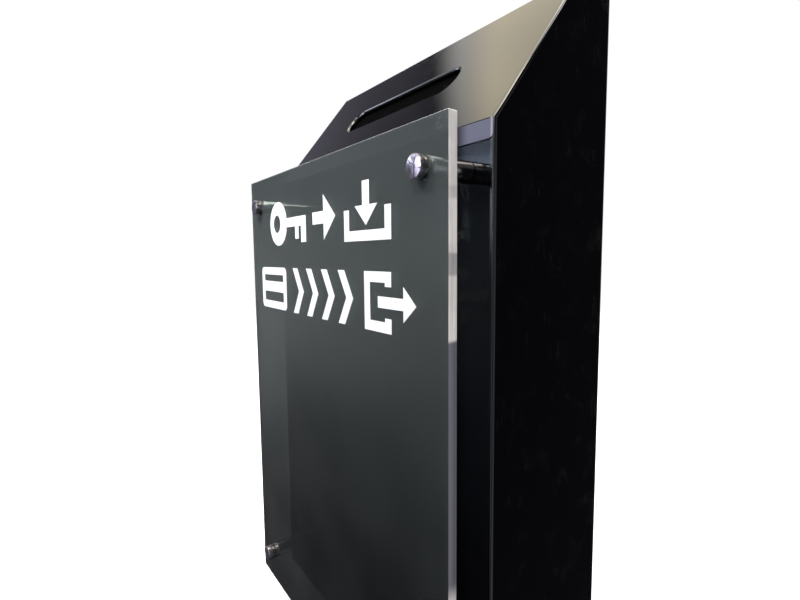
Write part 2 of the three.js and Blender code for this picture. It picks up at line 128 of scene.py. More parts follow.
def rounding(radius, steps):
    """(inset, drop) pairs for a rounded edge, from the side to the flat face."""
    if not radius:
        return [(0.0, 0.0)]
    angles = [pi / 2 * i / steps for i in range(steps + 1)]
    return [(radius * (1 - cos(a)), radius * (1 - sin(a))) for a in angles]


def between(steps, drop):
    """The inset of a rim's (inset, drop) steps at any drop."""
    for (inset_a, drop_a), (inset_b, drop_b) in zip(steps, steps[1:]):
        if drop_b <= drop <= drop_a:
            return inset_a + (inset_b - inset_a) * (drop_a - drop) / (drop_a - drop_b)
    return 0.0 if drop > steps[0][1] else steps[-1][0]


def plate(shape, outer, holes, thickness, place, low=0.2, high=0.2, steps=3, look=0, caps=(0, 0)):
    """A flat plate with rounded rims, from height 0 to its thickness."""
    profile = [(inset, drop) for inset, drop in reversed(rounding(low, steps))]
    profile += [(inset, thickness - drop) for inset, drop in rounding(high, steps)]
    layers = [
        (height, offset(outer, inset), [offset(hole, inset) for hole in holes])
        for inset, height in profile
    ]
    layered(shape, layers, place, look, caps)


def turned(shape, profile, place, segments=64, look=0, closed=False):
    """A form turned about the w axis, from (radius, height) points."""
    points, rings = [], []
    for radius, height in profile:
        if radius < 1e-6:
            rings.append([len(points)] * segments)
            points.append(place @ Vector((0, 0, height)))
            continue
        rings.append([len(points) + i for i in range(segments)])
        for i in range(segments):
            angle = 2 * pi * i / segments
            points.append(place @ Vector((radius * cos(angle), radius * sin(angle), height)))
    faces = []
    for a, b in zip(rings, rings[1:] + rings[:1] if closed else rings[1:]):
        for i in range(segments):
            j = (i + 1) % segments
            corners = [a[i], a[j], b[j], b[i]]
            faces.append(list(dict.fromkeys(corners)))
    shape.add(points, faces, look, True)


def tube(shape, path, radius, sides=10, look=0):
    """A round wire along a list of points, with closed ends."""
    points, faces = [], []
    across = None
    for i, here in enumerate(path):
        along = (path[min(i + 1, len(path) - 1)] - path[max(i - 1, 0)]).normalized()
        if across is None:
            across = along.orthogonal().normalized()
        across = (across - along * across.dot(along)).normalized()
        other = along.cross(across)
        for k in range(sides):
            angle = 2 * pi * k / sides
            points.append(here + (across * cos(angle) + other * sin(angle)) * radius)
    for i in range(len(path) - 1):
        for k in range(sides):
            a, b = i * sides + k, i * sides + (k + 1) % sides
            faces.append([a, b, b + sides, a + sides])
    last = (len(path) - 1) * sides
    faces += [list(range(sides)), list(range(last, last + sides))]
    shape.add(points, faces, look, True)


def arc(centre, radius, start, end, steps):
    """Points of a circular arc, from a start angle to an end angle in degrees."""
    angles = [radians(start + (end - start) * i / steps) for i in range(steps + 1)]
    return [(centre[0] + radius * cos(a), centre[1] + radius * sin(a)) for a in angles]


def circle(centre, radius, count=48):
    """An anticlockwise circle."""
    return arc(centre, radius, 0, 360, count)[:-1]


def hole(loop):
    """A loop turned the other way round, to be a hole."""
    return list(reversed(loop))


def rectangle(low, high, radius=0.0, steps=5):
    """An anticlockwise rectangle, with rounded corners if it has a radius."""
    (a, b), (c, d) = low, high
    if not radius:
        return [(a, b), (c, b), (c, d), (a, d)]
    corners = [(c - radius, b + radius, -90), (c - radius, d - radius, 0)]
    corners += [(a + radius, d - radius, 90), (a + radius, b + radius, 180)]
    return [p for x, y, start in corners for p in arc((x, y), radius, start, start + 90, steps)]


def block(shape, low, high, radius=0.3, look=0):
    """A bar or block with rounded edges, between two corners."""
    place = placed((0, 0, low[2]), X, Y, Z)
    outer = rectangle(low[:2], high[:2], radius, 3)
    plate(shape, outer, [], high[2] - low[2], place, radius, radius, 3, look, (look, look))


def piece(name, shape, body, looks, replaces=(), sharp=34):
    """Makes the object of a shape, which rides on a body and stands for CAD nodes."""
    mesh = bpy.data.meshes.new(name)
    mesh.from_pydata([p * MM for p in shape.points], [], shape.faces)
    mesh.polygons.foreach_set("material_index", shape.looks)
    mesh.polygons.foreach_set("use_smooth", shape.smooth)
    form = bmesh.new()
    form.from_mesh(mesh)
    bmesh.ops.remove_doubles(form, verts=form.verts, dist=1e-7)
    bmesh.ops.recalc_face_normals(form, faces=form.faces)
    form.to_mesh(mesh)
    form.free()
    smooth = [face.use_smooth for face in mesh.polygons]
    mesh.set_sharp_from_angle(angle=radians(sharp))
    mesh.polygons.foreach_set("use_smooth", smooth)
    for look in looks:
        mesh.materials.append(look)
    obj = bpy.data.objects.new(name, mesh)
    bpy.context.scene.collection.objects.link(obj)
    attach(obj, body)
    if replaces:
        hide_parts(*replaces)
    return obj


# ---- Node helpers -----------------------------------------------------------


class Graph:
    """Short calls for making the nodes of one tree. An input is a number, a colour or an output."""

    def __init__(self, tree):
        self.tree = tree

    def put(self, socket, value):
        if isinstance(value, bpy.types.NodeSocket):
            self.tree.links.new(value, socket)
        elif socket.type == "RGBA" and len(value) == 3:
            socket.default_value = (*value, 1)
        else:
            socket.default_value = value

    def node(self, kind, inputs=None, **settings):
        made = self.tree.nodes.new(kind)
        for key, value in settings.items():
            setattr(made, key, value)
        for key, value in (inputs or {}).items():
            self.put(made.inputs[key], value)
        return made

    def math(self, operation, *values, clamp=False):
        """A sum on numbers or outputs, such as MULTIPLY_ADD."""
        inputs = dict(enumerate(values))
        return self.node("ShaderNodeMath", inputs, operation=operation, use_clamp=clamp).outputs[0]

    def spread(self, value, low, high, to_low=0.0, to_high=1.0):
        """value carried smoothly from one range to another, and held past its ends."""
        inputs = {0: value, 1: low, 2: high, 3: to_low, 4: to_high}
        return self.node("ShaderNodeMapRange", inputs, interpolation_type="SMOOTHSTEP").outputs[0]

    def mix(self, amount, first, second):
        """The first colour where amount is 0 and the second where it is 1."""
        made = self.node("ShaderNodeMix", data_type="RGBA")
        for index, value in ((0, amount), (6, first), (7, second)):
            self.put(made.inputs[index], value)
        return made.outputs[2]


class Look(Graph):
    """A material with one Principled shader, and textures in the object's own coordinates."""

    def __init__(self, name, color, roughness, metallic=0.0, **constants):
        self.material = bpy.data.materials.new(name)
        self.material.use_nodes = True
        super().__init__(self.material.node_tree)
        self.shader = self.tree.nodes["Principled BSDF"]
        self.place = self.node("ShaderNodeTexCoord").outputs["Object"]
        self.set("Base Color", color)
        self.set("Roughness", roughness)
        self.set("Metallic", metallic)
        for key, value in constants.items():
            self.set(key.replace("_", " "), value)

    def set(self, key, value):
        self.put(self.shader.inputs[key], value)

    def noise(self, scale, detail=2.0, stretch=(1, 1, 1), turn=(0, 0, 0), distortion=0.0, rough=0.5):
        """Cloudy noise from 0 to 1; scale is in features a metre."""
        turned_to = [radians(angle) for angle in turn]
        mapped = self.node(
            "ShaderNodeMapping", {"Vector": self.place, "Scale": stretch, "Rotation": turned_to}
        ).outputs[0]
        inputs = {
            "Vector": mapped,
            "Scale": scale,
            "Detail": detail,
            "Roughness": rough,
            "Distortion": distortion,
        }
        return self.node("ShaderNodeTexNoise", inputs).outputs["Fac"]

    def scratches(self, scale, length, turn, keep):
        """Thin straight marks, 0 on most of the surface and 1 in each mark."""
        fine = self.noise(scale, 1.0, (1 / length, 1, 1 / length), turn)
        line = self.math("ABSOLUTE", self.math("SUBTRACT", fine, 0.5))
        where = self.noise(scale / 12, 1.0, (1, 1, 1), (turn[2], turn[0], 30))
        mark = self.spread(line, 0.0, 0.012, 1.0, 0.0)
        return self.math("MULTIPLY", mark, self.spread(where, keep, keep + 0.06))

    def bump(self, height, distance, strength=1.0):
        """Relief in the shading, on top of any bump made before; distance is in metres."""
        inputs = {"Height": height, "Distance": distance, "Strength": strength}
        before = self.shader.inputs["Normal"]
        if before.is_linked:
            inputs["Normal"] = before.links[0].from_socket
        self.set("Normal", self.node("ShaderNodeBump", inputs).outputs[0])


# ---- Materials --------------------------------------------------------------

ACRYLIC_IOR = 1.49
JET = (0.0007, 0.0007, 0.001)


def gloss_black(name, roughness, wear):
    """Black cast acrylic: near mirror, with smudges and fine hair scratches."""
    look = Look(name, JET, roughness, Specular_IOR_Level=0.5, IOR=ACRYLIC_IOR)
    smudge = look.spread(look.noise(34, 5.0, distortion=1.2), 0.5, 0.72)
    wipe = look.spread(look.noise(60, 3.0, (0.25, 1.0, 1.0), (20, 15, 40)), 0.5, 0.75)
    marks = look.scratches(900, 14, (10, 0, 25), 0.56)
    cross = look.scratches(700, 18, (80, 40, -35), 0.6)
    hairs = look.math("MAXIMUM", marks, cross)
    rough = look.math("MULTIPLY_ADD", smudge, 0.07 * wear, roughness)
    rough = look.math("MULTIPLY_ADD", wipe, 0.05 * wear, rough)
    rough = look.math("MULTIPLY_ADD", hairs, 0.12 * wear, rough)
    look.set("Roughness", rough)
    pale = 0.006 * wear
    look.set("Base Color", look.mix(hairs, JET, (pale, pale, pale)))
    look.bump(look.noise(9, 1.0), 0.000012 * wear)
    look.bump(hairs, 0.000004, 0.5)
    return look.material


def smoked_sheet():
    """The sign's smoked acrylic, seen through: a little haze, smudges and wiping marks, and painted
    shade that darkens it towards the bottom.
    """
    look = Look("smoked_acrylic", (0.33, 0.36, 0.36), 0.03, Transmission_Weight=0.91, IOR=ACRYLIC_IOR)
    height = look.node("ShaderNodeSeparateXYZ", {0: look.place}).outputs["Z"]
    # Painted shade: the base colour darkens from the top of the sheet towards the bottom, with random
    # tone added.
    shade_and_tone = look.spread(height, 0.04, 0.36)
    shade_and_tone = look.math("MULTIPLY_ADD", look.spread(look.noise(16, 4.0), 0.3, 0.7), 0.12, shade_and_tone)
    look.set("Base Color", look.mix(shade_and_tone, (0.03, 0.032, 0.032), (0.33, 0.385, 0.375)))
    smudge = look.spread(look.noise(28, 4.0, distortion=0.8), 0.52, 0.75)
    hairs = look.scratches(800, 16, (0, 10, 15), 0.6)
    rough = look.math("MULTIPLY_ADD", smudge, 0.03, 0.02)
    look.set("Roughness", look.math("MULTIPLY_ADD", hairs, 0.1, rough))
    return look.material


def sheet_edge():
    """The sign's polished edge with painted light: a painted reflection makes it bright at the top and
    foot, grey between, and two patches of painted shade from the standoffs darken it.
    """
    look = Look("acrylic_edge", (0.6, 0.58, 0.56), 0.16, IOR=ACRYLIC_IOR, Coat_Weight=0.4)
    height = look.node("ShaderNodeSeparateXYZ", {0: look.place}).outputs["Z"]
    wander = look.math("MULTIPLY_ADD", look.noise(30, 3.0), 0.008, -0.004)
    height = look.math("ADD", height, wander)
    # Painted reflection: the edge is brighter above 0.236 m and below 0.13 m, broken up by noise.
    upper = look.spread(height, 0.2362, 0.2385)
    lower = look.spread(height, 0.120, 0.130, 1.0, 0.0)
    lit = look.math("MAXIMUM", upper, lower)
    streak = look.spread(look.noise(500, 3.0, (1, 1, 0.04)), 0.3, 0.7, 0.75, 1.0)
    smear = look.spread(look.noise(45, 2.0), 0.42, 0.62, 0.78, 1.0)
    lit = look.math("MULTIPLY", lit, look.math("MULTIPLY", smear, streak))
    # Painted shade of the standoffs: two bands of the edge keep only part of their brightness.
    painted_shadows = [(0.2645, 0.2745, 0.45), (0.298, 0.303, 0.7)]  # from, to, and the brightness kept
    for low, high, kept in painted_shadows:
        above = look.spread(height, low - 0.001, low + 0.001)
        below = look.spread(height, high - 0.001, high + 0.001, 1.0, 0.0)
        inside = look.math("MULTIPLY", above, below)
        lit = look.math("MULTIPLY", lit, look.math("MULTIPLY_ADD", inside, kept - 1, 1.0))
    # The dark colour is the edge in painted shade and the pale one its painted reflection.
    look.set("Base Color", look.mix(lit, (0.075, 0.075, 0.095), (0.50, 0.485, 0.485)))
    look.bump(look.noise(900, 2.0, (1, 1, 0.05)), 0.00002)
    return look.material


def white_print():
    """Matt white vinyl of the sign's pictograms, which lets some light through."""
    look = Look("white_vinyl", (0.83, 0.83, 0.84), 0.45, IOR=1.46, Subsurface_Weight=1.0)
    look.set("Subsurface Radius", (1, 1, 1))
    look.set("Subsurface Scale", 1.0 * MM)
    mottle = look.spread(look.noise(120, 3.0), 0.3, 0.7)
    look.set("Base Color", look.mix(mottle, (0.80, 0.80, 0.81), (0.86, 0.86, 0.87)))
    look.set("Roughness", look.math("MULTIPLY_ADD", mottle, 0.12, 0.38))
    look.bump(look.noise(2500, 2.0), 0.000004)
    return look.material


def metal(name, color, roughness, tarnish, grain=0.0, spots=0.0, spot_pattern=(420, 0.62)):
    """Bare metal with smears, fine grain and dark spots; the last argument is the spots' scale and
    onset. On the caps the heavy dark spots are painted reflection of dark surroundings.
    """
    look = Look(name, color, roughness, 1.0)
    cloud = look.spread(look.noise(220, 4.0, distortion=0.6), 0.35, 0.7)
    scale, onset = spot_pattern
    dark_spot = look.spread(look.noise(scale, 3.0, distortion=1.0), onset, onset + 0.08)
    dark_spot = look.math("MULTIPLY", dark_spot, spots)
    shade = look.math("MULTIPLY_ADD", cloud, tarnish, dark_spot, clamp=True)
    dark = tuple(0.22 * c for c in color)
    look.set("Base Color", look.mix(shade, color, dark))
    rough = look.math("MULTIPLY_ADD", cloud, 0.12, roughness)
    look.set("Roughness", look.math("MULTIPLY_ADD", dark_spot, 0.25, rough))
    if grain:
        look.bump(look.noise(3500, 2.0, (1, 1, 0.06)), grain)
        look.bump(look.noise(900, 3.0), grain * 0.7)
    return look.material


def painted_metal():
    """Black satin paint, worn to grey in small chips."""
    look = Look("black_paint", (0.001, 0.001, 0.001), 0.6, IOR=1.5, Specular_IOR_Level=0.001)
    cloud = look.spread(look.noise(90, 4.0), 0.35, 0.7)
    chips = look.spread(look.noise(260, 5.0), 0.66, 0.69)
    look.set("Base Color", look.mix(chips, (0.001, 0.001, 0.001), (0.006, 0.006, 0.006)))
    look.set("Roughness", look.math("MULTIPLY_ADD", cloud, 0.14, 0.5))
    look.bump(look.noise(1800, 2.0), 0.00001)
    return look.material


def rubber():
    """Moulded black rubber with a dusty bloom."""
    look = Look("black_rubber", (0.018, 0.018, 0.019), 0.8, IOR=1.5)
    bloom = look.spread(look.noise(160, 5.0), 0.4, 0.75)
    look.set("Base Color", look.mix(bloom, (0.016, 0.016, 0.017), (0.05, 0.049, 0.047)))
    look.set("Roughness", look.math("MULTIPLY_ADD", bloom, 0.15, 0.72))
    look.bump(look.noise(2600, 3.0), 0.00003)
    return look.material


def felt():
    """Pressed grey felt, with fibres in two directions."""
    look = Look("grey_felt", (0.05, 0.05, 0.055), 0.95, Sheen_Weight=0.35, Sheen_Roughness=0.5)
    one = look.noise(2200, 3.0, (0.2, 1, 1), (0, 0, 25), 1.0)
    two = look.noise(2200, 3.0, (1, 0.2, 1), (0, 0, -15), 1.0)
    fibres = look.math("MAXIMUM", one, two)
    tone = look.spread(fibres, 0.4, 0.75)
    patch = look.spread(look.noise(24, 3.0), 0.3, 0.7)
    tone = look.math("MULTIPLY_ADD", patch, 0.3, look.math("MULTIPLY", tone, 0.7))
    look.set("Base Color", look.mix(tone, (0.028, 0.028, 0.031), (0.1, 0.098, 0.1)))
    look.bump(fibres, 0.00025)
    return look.material


BLACK = gloss_black("black_acrylic", 0.035, 1.0)
BLACK_EDGE = gloss_black("black_acrylic_edge", 0.09, 0.6)
SMOKED = smoked_sheet()
EDGE = sheet_edge()
PRINT = white_print()
STEEL = metal("polished_steel", (0.74, 0.72, 0.74), 0.07, 0.3, 0.0, 0.5)
# The caps are the barrels' polished steel given a darker colour, painted shade that tones down their
# reflections; their heavy dark spots are painted reflection.
CAP = metal("cap_steel", (0.40, 0.375, 0.41), 0.2, 0.5, 0.0, 1.0, (230, 0.51))
PLATED = metal("zinc_plate", (0.62, 0.62, 0.60), 0.26, 0.4, 0.00001, 0.2)
PAINT = painted_metal()
NICKEL = metal("nickel_silver", (0.70, 0.66, 0.58), 0.2, 0.45, 0.000008, 0.3)
RUBBER = rubber()
FELT = felt()

# ---- Case -------------------------------------------------------------------

side_low, side_high = box("right_side_panel")
front_low, front_high = box("front_panel")
GLUE = front_low.z - side_low.z
CASE_HALF = side_high.x
INNER_HALF = side_low.x
SHEET = CASE_HALF - INNER_HALF
FRONT_Y, REAR_Y = side_low.y, side_high.y
UNDERSIDE, ROOF = side_low.z, side_high.z
FRONT_TOP = front_high.z + GLUE
SLOPE_END_Y = box("top_panel")[0].y - GLUE
EDGE_ROUND = 1.5  # of the side sheets' outer edges

# Outline in (y, z): underside, back, roof, slope and front, anticlockwise.
OUTER = [
    (FRONT_Y, UNDERSIDE),
    (REAR_Y, UNDERSIDE),
    (REAR_Y, ROOF),
    (SLOPE_END_Y, ROOF),
    (FRONT_Y, FRONT_TOP),
]
SLOT_HALF, SLOT_WIDTH = 59.8, 19.5
SLOT_UP = 52.15  # from the slope's lower edge up to the slot's middle
# (inset, drop) steps of the slot's polished rim, from deep inside up to the face.
SLOT_RIM = [(0.0, 1.15), (0.06, 1.02), (0.16, 0.9), (1.25, 0.07), (1.36, 0.02), (1.5, 0.0)]
WALLS = ["bottom_panel", "rear_panel", "top_panel", "sloped_panel", "front_panel"]
SEAM = 0.28  # rounding along the mitred seams
DOOR_GAP = 0.8


def make_sides():
    for side, sign in (("left", -1), ("right", 1)):
        shape = Shape()
        place = placed((sign * INNER_HALF, 0, 0), Y, Z, sign * X)
        plate(shape, OUTER, [], SHEET, place, 0.0, EDGE_ROUND, 6)
        name = f"{side}_side_panel"
        piece(f"{side}_side", shape, "case", [BLACK], [name])


def wall(name, holes=(), rim=((0.0, 0.0),)):
    """One sheet between its two mitred ends, its holes widened by the rim's (inset, drop) steps."""
    index = WALLS.index(name)
    start, end = Vector(OUTER[index]), Vector(OUTER[(index + 1) % 5])
    along = (end - start).normalized()
    outward = Vector((along.y, -along.x))
    inner = offset(OUTER, SHEET)
    inner_start = (Vector(inner[index]) - start).dot(along)
    inner_end = (Vector(inner[(index + 1) % 5]) - start).dot(along)
    length = (end - start).length

    def band(low, high):
        return rectangle((-INNER_HALF, low), (INNER_HALF, high))

    def at(depth):
        share = depth / SHEET
        return inner_start * share, length + (inner_end - length) * share

    seam = rounding(SEAM, 3)
    drops = sorted({SHEET, *[drop for _, drop in seam], *[drop for _, drop in rim]}, reverse=True)
    layers = []
    for drop in drops:
        low, high = at(drop)
        cut = between(seam, drop)
        widened = [offset(loop, between(rim, drop)) for loop in holes]
        layers.append((-drop, band(low + cut, high - cut), widened))
    shape = Shape()
    place = placed((0, *start), X, Vector((0, *along)), Vector((0, *outward)))
    layered(shape, layers, place, 1)
    visible = name.replace("_panel", "_sheet")
    piece(visible, shape, "case", [BLACK, BLACK_EDGE], [name])


def make_walls():
    straight, radius = SLOT_HALF - SLOT_WIDTH / 2, SLOT_WIDTH / 2
    down = hypot(SLOPE_END_Y - FRONT_Y, ROOF - FRONT_TOP) - SLOT_UP
    slot = arc((straight, down), radius, -90, 90, 28) + arc((-straight, down), radius, 90, 270, 28)
    wall("sloped_panel", [hole(slot)], SLOT_RIM)
    wall("front_panel")
    wall("top_panel")
    wall("bottom_panel")
    door_low, door_high = box("rear_door")
    low = (door_low.x - DOOR_GAP, door_low.z - DOOR_GAP - UNDERSIDE)
    high = (door_high.x + DOOR_GAP, door_high.z + DOOR_GAP - UNDERSIDE)
    wall("rear_panel", [hole(rectangle(low, high, 0.6, 3))], rounding(0.3, 3))


make_sides()
make_walls()

# ---- Inside the case --------------------------------------------------------


BARS = ["rear_left_corner_strip", "rear_right_corner_strip"]
BARS += ["door_stop_top", "door_stop_bottom", "lock_strike"]


def make_inside():
    for node in BARS:
        shape = Shape()
        block(shape, *box(node))
        visible = node.replace("lock_", "") + "_bar"
        piece(visible, shape, "case", [BLACK_EDGE], [node])
    low, high = box("drop_pad")
    shape = Shape()
    outer = rectangle(low[:2], high[:2], 2.5, 5)
    plate(shape, outer, [], high.z - low.z, placed((0, 0, low.z), X, Y, Z), 0.4, 1.1, 5)
    piece("drop_pad_felt", shape, "case", [FELT], ["drop_pad"])
    for end in ("front", "rear"):
        for side in ("left", "right"):
            node = f"foot_{end}_{side}"
            low, high = box(node)
            middle, radius, top = (low + high) / 2, (high.x - low.x) / 2, high.z - low.z
            shape = Shape()
            profile = [(0, 0.35), (1.9, 0.35), (2.3, 0)]
            profile += [(radius - 1.3, 0), (radius - 0.6, 0.25), (radius - 0.15, 0.8), (radius, 1.4)]
            profile += [(radius, top - 0.5), (radius - 0.2, top), (0, top)]
            turned(shape, profile, placed((middle.x, middle.y, low.z), X, Y, Z), 64)
            piece(f"{node}_rubber", shape, "case", [RUBBER], [node])


make_inside()

# ---- Sign and standoffs -----------------------------------------------------

sign_low, sign_high = box("sign_panel")
CROWN = 0.4  # how far the middle of a cap's face stands above its rim
SIGN_HOLE = 3.4
STANDOFFS = ["upper_left", "upper_right", "lower_left", "lower_right"]


def centre(node):
    """The middle of a CAD node's box."""
    low, high = box(node)
    return (low + high) / 2


def make_sign():
    middle_z = (sign_low.z + sign_high.z) / 2
    half_z = (sign_high.z - sign_low.z) / 2
    outer = rectangle((sign_low.x, -half_z), (sign_high.x, half_z), 0.8, 4)
    holes = []
    for name in STANDOFFS:
        stud = centre(f"standoff_cap_{name}")
        holes.append(hole(circle((stud.x, stud.z - middle_z), SIGN_HOLE, 40)))
    shape = Shape()
    place = placed((0, sign_high.y, middle_z), X, Z, -Y)
    plate(shape, outer, holes, sign_high.y - sign_low.y, place, 0.15, 0.15, 3, 1)
    piece("sign_sheet_panel", shape, "case", [SMOKED, EDGE], ["sign_panel"])

    for name in STANDOFFS:
        low, high = box(f"standoff_cap_{name}")
        middle = (low + high) / 2
        radius = (high.x - low.x) / 2
        out = placed((middle.x, sign_low.y, middle.z), X, Z, -Y)
        cap = sign_low.y - low.y
        shape = Shape()
        profile = [(0, -12.5), (2.6, -12.5), (3, -12.1), (3, 0.02)]
        profile += [(radius - 0.35, 0.02), (radius - 0.1, 0.2), (radius - 0.1, 0.85)]
        profile += [(radius - 0.3, 1.0), (radius - 0.3, 1.15), (radius, 1.3)]
        shoulder = cap - CROWN
        profile += [(radius - inset, shoulder - drop) for inset, drop in rounding(0.45, 5)]
        ball = ((radius - 0.45) ** 2 + CROWN**2) / (2 * CROWN)
        for step in range(1, 9):
            out_to = (radius - 0.45) * (1 - step / 8)
            profile.append((out_to, cap - ball + (ball**2 - out_to**2) ** 0.5))
        turned(shape, profile, out, 96)
        piece(f"cap_{name}", shape, "case", [CAP], [f"standoff_cap_{name}"], 50)

        low, high = box(f"standoff_barrel_{name}")
        length = high.y - low.y
        shape = Shape()
        profile = [(3.2, 0), (radius - 0.3, 0), (radius, 0.3), (radius, length - 0.3)]
        profile += [(radius - 0.3, length), (3.2, length)]
        place = placed((middle.x, high.y, middle.z), X, Z, -Y)
        turned(shape, profile, place, 96, closed=True)
        piece(f"barrel_{name}", shape, "case", [STEEL], [f"standoff_barrel_{name}"])

        low, high = box(f"standoff_screw_{name}")
        place = placed((middle.x, high.y, middle.z), X, Z, -Y)
        reach = high.y - low.y
        shape = Shape()
        profile = [(0, 1.6), (1.9, 1.6), (2.2, 0.15), (3.4, 0.05), (4.4, 0.5), (5, 1.2)]
        profile += [(5, 3.0), (4.8, 3.2), (2.6, 3.2)]
        thread = 3.4
        while thread < reach - 1:
            profile += [(2.6, thread), (3.0, thread + 0.35), (2.6, thread + 0.7)]
            thread += 0.8
        profile += [(2.4, reach), (0, reach)]
        turned(shape, profile, place, 40)
        piece(f"screw_{name}", shape, "case", [PLATED], [f"standoff_screw_{name}"])


make_sign()

# ---- Sign pictograms --------------------------------------------------------

FILM = 0.15  # the film's thickness
BAR = 5.5  # width of a pictogram's strokes


def chevron(width, height, thick):
    """A heavy angle pointing right."""
    mid = height / 2
    return [(0, 0), (thick, 0), (width, mid), (thick, height), (0, height), (width - thick, mid)]


def arrow_right(width, height, thick):
    """An arrow pointing right, with a heavy head."""
    mid, head = height / 2, height / 2 + 1.5
    neck = width - head
    return [
        (0, mid - thick / 2),
        (neck, mid - thick / 2),
        (neck, 0),
        (width, mid),
        (neck, height),
        (neck, mid + thick / 2),
        (0, mid + thick / 2),
    ]


def make_pictograms():
    """Two rows of plain pictograms, in the places and the weight of the sign's own two rows."""
    place = placed((0, sign_low.y - 0.02, sign_low.z), X, Z, -Y)
    # Left end, lower edge above the sign's own, and height.
    rows = {"top": (-80.0, 274.1, 31.0), "low": (-101.0, 227.5, 30.8)}

    def film(name, parts):
        shape = Shape()
        for outer, holes in parts:
            plate(shape, outer, [hole(h) for h in holes], FILM, place, 0.0, 0.05, 1)
        piece(f"pictogram_{name}", shape, "case", [PRINT])

    def at(x, z, loop):
        return [(x + a, z + b) for a, b in loop]

    x, z, tall = rows["top"]
    mid = tall / 2
    bow = circle((mid, mid), mid, 56)
    eye = circle((mid - 2.5, mid), 6.3, 40)
    half = BAR / 2 + 0.4
    key = [p for p in bow if not (p[0] > mid and abs(p[1] - mid) < half + 0.8)]
    first = next(i for i, p in enumerate(key) if p[1] > mid and p[0] > mid)
    key = key[first:] + key[:first]
    blade = [(30, mid - half), (45, mid - half), (45, 4), (50.5, 4), (50.5, mid - half)]
    blade += [(54.5, mid - half), (54.5, 1.5), (62, 1.5), (62, mid + half), (30, mid + half)]
    film("key", [(at(x, z, key + blade), [at(x, z, eye)])])
    film("arrow", [(at(x + 72.25, z + 2, arrow_right(30, tall - 4, 7.5)), [])])
    tray = [(0, 0), (46, 0), (46, 17), (46 - BAR, 17), (46 - BAR, BAR), (BAR, BAR), (BAR, 17), (0, 17)]
    drop = [(23, 8), (34, 18.5), (26.4, 18.5), (26.4, 31), (19.6, 31), (19.6, 18.5), (12, 18.5)]
    start = x + 112.5
    film("tray", [(at(start, z, tray), []), (at(start, z, drop), [])])

    x, z, tall = rows["low"]
    card = rectangle((0, 0), (48, tall), 4, 6)
    window = rectangle((BAR, BAR), (48 - BAR, 12.6), 1, 3)
    strip = rectangle((BAR, 20.4), (48 - BAR, tall - BAR), 1, 3)
    film("card", [(at(x, z, card), [at(x, z, window), at(x, z, strip)])])
    for i in range(4):
        film(f"chevron_{i + 1}", [(at(x + 60 + 21.6 * i, z, chevron(17.2, tall, 7.6)), [])])
    frame_loop = [(0, 0), (25, 0), (25, 7.5), (25 - BAR, 7.5), (25 - BAR, BAR), (BAR, BAR)]
    frame_loop += [(BAR, tall - BAR), (25 - BAR, tall - BAR), (25 - BAR, tall - 7.5)]
    frame_loop += [(25, tall - 7.5), (25, tall), (0, tall)]
    out = at(13, tall / 2 - 8.5, arrow_right(32, 17, 5.8))
    start = x + 154
    film("exit", [(at(start, z, frame_loop), []), (at(start, z, out), [])])


make_pictograms()

# ---- Rear door, hinges and lock ---------------------------------------------

LEAF_NEAR, LEAF_FAR, LEAF_THICK = 3.1, 20.0, 1.0  # distances from the pin, and thickness
PIN_BORE, RIVET_HOLE = 1.35, 1.75
PLUG_BORE, BARREL, FLANGE = 5.5, 8.0, 10.0  # radii of the lock's housing
BARREL_HOLE, PLUG, CAM_END, NUT = 8.2, 5.3, 7.0, 11.5  # radii
KEY_HALF = 3.5  # half the width of the key's blade
# How far along the blade each cut starts, and how deep it is.
KEY_CUTS = [(2.2, 1.2), (4.4, 0.4), (6.6, 1.8), (8.8, 0.8), (11, 1.4)]


def make_door():
    low, high = box("rear_door")
    lock = centre("lock_plug")
    outer = rectangle((low.x, low.z), (high.x, high.z), 0.6, 3)
    shape = Shape()
    place = placed((0, low.y, 0), X, Z, Y)
    opening = hole(circle((lock.x, lock.z), BARREL_HOLE, 48))
    plate(shape, outer, [opening], high.y - low.y, place, 0.3, 0.4, 3, 1)
    piece("door_sheet", shape, "door", [BLACK, BLACK_EDGE], ["rear_door"])


